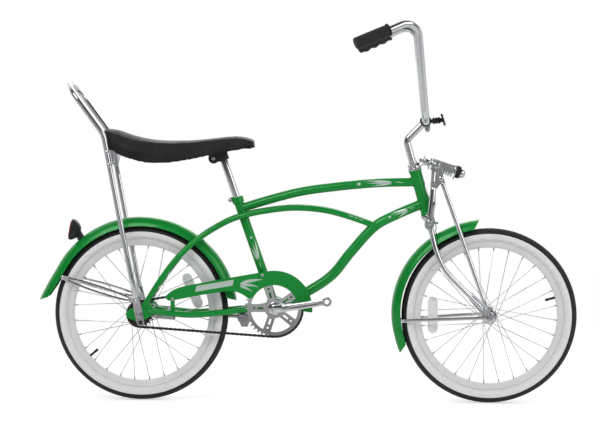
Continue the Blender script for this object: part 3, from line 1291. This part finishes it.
def build_sissy():
    """The hoop behind the seat, flattened at both feet where the axle holds it."""
    foot, mid, bend, top = sissy_route()
    mirror = Matrix.Scale(-1, 4, LEFT)
    flat_y = REAR_HUB_WIDTH / 2 + DROPOUT_THICK + GAP + 0.002
    shoulder = REAR_AXLE + Vector((-0.0095, -flat_y - 0.0015, 0.052))
    corners = [shoulder, foot, mid, bend, top]
    corners += [mirror @ p for p in corners[::-1]]
    route = bent_path(corners, [0.10, 0.60, 0.075, 0.062, 0.062, 0.075, 0.60, 0.10], 0.55)
    bar = solid("sissy_bar", tube(route, SISSY_RADIUS), "chrome")
    x, z = flat(REAR_AXLE)
    for side in (-1, 1):
        strip = wrapped(((x - 0.0160, z + 0.076), 0.0082), ((x - 0.0030, z + 0.010), 0.0118),
                        ((x + 0.0035, z - 0.022), 0.0105))
        join(bar, side_plate(strip, 0.004, side * flat_y))
    for side in (-1, 1):
        out = LEFT * (side * 0.09)
        lower = REAR_AXLE + Vector((0.0035, 0, -0.022))
        upper = REAR_AXLE + Vector((-0.0085, 0, 0.039))
        cut(bar, rod(REAR_AXLE + out * 0.6, REAR_AXLE + out, AXLE_RADIUS + 0.0005),
            rod(lower + out * 0.6, lower + out, 0.0044, 8),
            rod(upper + out * 0.6, upper + out, 0.0036, 8))


def fender_rings(place, radius, first, last, steps, flare):
    """Sections of a rolled fender shell from one angle to the other, in degrees."""
    rings = []
    for i in range(steps + 1):
        share = i / steps
        angle = math.radians(first + (last - first) * share)
        out = Vector((math.cos(angle), 0, math.sin(angle)))
        lift = flare(share)
        outer, inner = [], []
        for t in np.linspace(-1, 1, 5):
            swell = math.radians(72 * t)
            y = FENDER_HALF_WIDTH * math.sin(swell) / math.sin(math.radians(72))
            drop = 0.024 * (1 - math.cos(swell)) / (1 - math.cos(math.radians(72)))
            outer.append(place + out * (radius + lift - drop) + LEFT * y)
            shrink = (FENDER_HALF_WIDTH - FENDER_WALL) / FENDER_HALF_WIDTH
            inner.append(place + out * (radius + lift - drop - FENDER_WALL * max(0.0, math.cos(swell)))
                         + LEFT * (y * shrink))
        rings.append(outer + inner[::-1])
    return rings


def build_rear_fender():
    """Rear fender with a duck-tail end, its stays and the reflector on its back."""
    tail = TAIL_REACH - FENDER_RADIUS

    def flare(share):
        return tail * max(0.0, (share - 0.87) / 0.13) ** 1.6 * 1.012

    fender = solid("rear_fender", loft(fender_rings(REAR_AXLE, FENDER_RADIUS, 8, 173.2, 17, flare)),
                   "green_paint", sharp=45)
    x, z = flat(REAR_AXLE)
    eye = (x - 0.0085, z + 0.039)
    angle = math.radians(155.5)
    reach = FENDER_RADIUS - 0.030
    end = (x + reach * math.cos(angle), z + reach * math.sin(angle))
    y = REAR_HUB_WIDTH / 2 + DROPOUT_THICK + 0.0068
    for side, hand in ((-1, "right"), (1, "left")):
        near_y = side * y
        far_y = side * (FENDER_HALF_WIDTH + 0.0016)
        length = math.dist(eye, end)
        ahead = Vector((end[0] - eye[0], 0, end[1] - eye[1])).normalized()
        rise = Vector((-ahead.z, 0, ahead.x))
        start = Vector((eye[0], near_y, eye[1]))
        finish_at = Vector((end[0], far_y, end[1]))
        path = [start - ahead * 0.010, start + ahead * 0.010, start + ahead * 0.030,
                start.lerp(finish_at, 0.5), finish_at - ahead * 0.012, finish_at + ahead * 0.010]
        path[1].y = path[0].y = near_y
        path[4].y = path[5].y = far_y
        stay = solid("rear_fender_stay_" + hand,
                     strap(path, rise, 0.022, 0.0022, [0.010, 0.017, 0.024, 0.024, 0.020, 0.010]),
                     "chrome")
        middle = start.lerp(finish_at, 0.5)
        window = slot((middle.x - ahead.x * (length * 0.5 - 0.046), middle.z - ahead.z
                       * (length * 0.5 - 0.046)),
                      (middle.x + ahead.x * (length * 0.5 - 0.036), middle.z + ahead.z
                       * (length * 0.5 - 0.036)), 0.0040, 4)
        cut(stay, side_plate(window, 0.06, middle.y))
        bolt = Vector((eye[0], 0, eye[1]))
        join(stay, rod(bolt + LEFT * (side * (y - 0.0052)), bolt + LEFT * near_y, 0.0030, 10),
             rod(bolt + LEFT * near_y, bolt + LEFT * (near_y + side * 0.0036), 0.0052, 12))
    build_rear_reflector()


def build_rear_reflector():
    """A black housing bolted on the back of the fender, with its lens facing the rear."""
    angle = math.radians(129.5)
    out = Vector((math.cos(angle), 0, math.sin(angle)))
    seat = REAR_AXLE + out * (FENDER_RADIUS + GAP + 0.0002)
    back = Vector((-1, 0, 0.18)).normalized()
    up = Vector((0.18, 0, 1)).normalized()
    centre = seat + out * 0.020 + back * 0.010
    housing = solid("rear_reflector", loft(
        [ellipse_ring(centre + back * along, LEFT * wide, up * tall, 12, 0.6)
         for along, wide, tall in ((-0.012, 0.010, 0.012), (-0.004, 0.020, 0.022),
                                   (0.010, 0.0265, 0.0300), (0.016, 0.0265, 0.0300))]),
        "black_plastic")
    join(housing, rod(seat - out * 0.002, centre, 0.008))
    room = fender_rings(REAR_AXLE, FENDER_RADIUS + 2 * GAP, 112, 148, 6, lambda share: 0.0)
    half = len(room[0]) // 2
    deep = [ring[:half] + [ring[half - 1] - out * 0.08, ring[0] - out * 0.08] for ring in room]
    cut(housing, loft(deep))
    join(housing, ellipse_plate(centre + back * 0.0155, LEFT, up, 0.0240, 0.0270, back, 0.0040))


def build_front_fender(carrier):
    """Front fender with a bracket to the crown and a stay on each side."""
    def flare(share):
        return 0.007 * math.sin(math.pi * min(1.0, share / 0.9)) * share

    fender = solid("front_fender", loft(fender_rings(FRONT_AXLE, FENDER_RADIUS, 96, 203.5, 11,
                                                     flare)), "green_paint", carrier, 45)
    out = (CROWN - FRONT_AXLE).normalized()
    along = LEFT.cross(out)
    foot = FRONT_AXLE + out * (FENDER_RADIUS + 0.0012)
    tab = strap([foot - along * 0.014, foot - along * 0.004, foot + out * 0.006,
                 CROWN + STEER_AHEAD * 0.0148 - STEER_UP * 0.016,
                 CROWN + STEER_AHEAD * 0.0148 - STEER_UP * 0.001], LEFT, 0.020, 0.0022)
    join(fender, tab)
    cut(fender, rod(CROWN - STEER_UP * 0.0078, CROWN - STEER_UP * 0.0078 + STEER_AHEAD * 0.04,
                    0.0045, 12))
    angle = math.radians(183.5)
    reach = FENDER_RADIUS - 0.028
    end = FRONT_AXLE + Vector((math.cos(angle), 0, math.sin(angle))) * reach
    near = STAY_EYE_Y
    for side, hand in ((-1, "right"), (1, "left")):
        far = FENDER_HALF_WIDTH + 0.0016
        start = FRONT_AXLE + LEFT * (side * near)
        finish_at = end + LEFT * (side * far)
        ahead = (end - FRONT_AXLE).normalized()
        rise = Vector((-ahead.z, 0, ahead.x))
        path = [start + ahead * 0.006, start + ahead * 0.020, start.lerp(finish_at, 0.5),
                finish_at - ahead * 0.020, finish_at + ahead * 0.009]
        path[0].y = path[1].y = start.y
        path[3].y = path[4].y = finish_at.y
        stay = solid("front_fender_stay_" + hand, strap(path, rise, 0.010, 0.0020,
                                                        [0.012, 0.009, 0.009, 0.009, 0.010]),
                     "chrome", carrier)
        join(stay, side_plate(circle(flat(FRONT_AXLE), 0.0105, 10, 0.2), 0.0024, side * near))
        cut(stay, rod(FRONT_AXLE, FRONT_AXLE + LEFT * (side * 0.1), AXLE_RADIUS + 0.0005))


def build_brake_arm():
    """The coaster brake's reaction arm on the left, and the clip that holds it to the stay."""
    x, z = flat(REAR_AXLE)
    y = REAR_HUB_WIDTH / 2 - 0.0058
    end = (x + 0.086, z - 0.019)
    arm = solid("coaster_brake_arm", side_plate(wrapped(((x, z), 0.0185), (end, 0.0065), steps=10), 0.0026,
                                              y), "steel")
    clip_x = x + 0.086
    near = min(ROUTES["stay_left"], key=lambda p: abs(p.x - clip_x))
    half = Vector((0.0065, 0, 0))
    top = (near.x, near.z - STAY_RADIUS)
    inner = y + 0.0011
    join(arm, rod((x, 0.0365, z), (x, y, z), 0.0165, 12),
         rod(near - half, near + half, STAY_RADIUS + 0.0022),
         side_plate(wrapped((top, 0.0052), (end, 0.0058), steps=8), 0.0016, inner + 0.0005),
         side_plate(wrapped((top, 0.0050), ((near.x, near.z - STAY_RADIUS - 0.003), 0.0048), steps=8),
                    abs(near.y - inner), (near.y + inner) / 2),
         hexagon(Vector((end[0], inner, end[1])), LEFT, 0.009, 0.0052),
         rod((end[0], y - 0.0038, end[1]), (end[0], y, end[1]), 0.0050, 8))
    cut(arm, tube(ROUTES["stay_left"], STAY_RADIUS + GAP),
        rod((x, 0.03, z), (x, 0.06, z), 0.0090))


def build_seat_straps(pan_plate):
    """Two straps down from the pan's tail to the sissy bar."""
    _, mid, bend, _ = sissy_route()
    for side in (-1, 1):
        anchor = mid.lerp(bend, 0.77)
        lower = mid.lerp(bend, 0.60)
        y = side * (abs(lower.y) - SISSY_RADIUS - 0.0013 - 2 * GAP)
        share = 0.22
        pan = Vector((SEAT_TAIL.x + SEAT_LENGTH * share, side * 0.054,
                      SEAT_TAIL.z + seat_floor(share) + 0.0045))
        edge = pan.z - 0.0062
        outline = wrapped((flat(anchor), 0.0078), (flat(lower), 0.0085),
                          ((pan.x - 0.006, edge - 0.008), 0.0075),
                          ((pan.x + 0.014, edge - 0.006), 0.0060), steps=8)
        web = side_plate(outline, 0.0026, y)
        shelf = strap([(pan.x + 0.002, y, edge - 0.0018), (pan.x + 0.002, side * 0.060, edge - 0.0018),
                       (pan.x + 0.002, side * 0.052, pan.z + 0.0005),
                       (pan.x + 0.002, side * 0.030, pan.z + 0.0005)], (1, 0, 0), 0.022, 0.0022)
        studs = [rod((place.x, side * (abs(place.y) - SISSY_RADIUS - GAP), place.z),
                     (place.x, side * (abs(y) - 0.0045), place.z), 0.0050, 6)
                 for place in (anchor, lower)]
        join(pan_plate, web, shelf, *studs)


def build():
    """Make every sub-part, frame first and then each body on its own pivot."""
    for leftover in list(bpy.data.objects):
        bpy.data.objects.remove(leftover)
    crank_pivot = pivot("crank_axis", BRACKET)
    sprocket_pivot = pivot("sprocket_axis", REAR_AXLE)
    rear_pivot = pivot("rear_wheel_axis", REAR_AXLE)
    kick_place = kickstand_place() + Vector((0.003, 0.047, -STAY_RADIUS - 0.0235))
    kick_pivot = pivot("kickstand_axis", kick_place)
    steering_pivot = pivot("steering_axis", on_steerer(HEAD_START))
    fork_pivot = pivot("fork_axis", CROWN, steering_pivot)
    yoke_pivot = pivot("yoke_axis", KNUCKLE, fork_pivot)
    front_pivot = pivot("front_wheel_axis", FRONT_AXLE, fork_pivot)

    build_frame()
    build_kickstand(kick_place, kick_pivot)
    build_drive(crank_pivot, sprocket_pivot)
    build_chainguard()
    rear_hub = dict(flange=0.0275, barrel=0.019, bore=0.0092, right=-0.0235, left=0.0275)
    front_hub = dict(flange=0.0185, barrel=0.0125, bore=0.0092, right=-0.0330, left=0.0330)
    build_wheel("rear", REAR_AXLE, rear_hub, math.radians(6.9), math.radians(220.2),
                math.radians(23.8), rear_pivot)
    build_wheel("front", FRONT_AXLE, front_hub, math.radians(9.1), math.radians(15.7),
                math.radians(180.0), front_pivot)
    build_axle("rear_axle", REAR_AXLE, REAR_HUB_WIDTH / 2 - GAP,
               REAR_HUB_WIDTH / 2 + DROPOUT_THICK + 0.004 + 2 * GAP, 0.0478)
    build_axle("front_axle", FRONT_AXLE, FRONT_HUB_WIDTH / 2 - GAP,
               STAY_EYE_Y + 0.0012 + GAP, 0.0415, fork_pivot)
    build_brake_arm()
    build_seat()
    build_sissy()
    build_rear_fender()
    build_headset()
    build_steerer(steering_pivot)
    build_perch(steering_pivot)
    build_spring(steering_pivot)
    build_stem(steering_pivot)
    build_bar(steering_pivot)
    build_front_reflector(steering_pivot)
    build_fork(fork_pivot)
    build_yoke(yoke_pivot)
    build_front_fender(fork_pivot)
    for made in list(bpy.data.objects):
        if made.type == "MESH" and made.modifiers:
            tidy(made)


build()
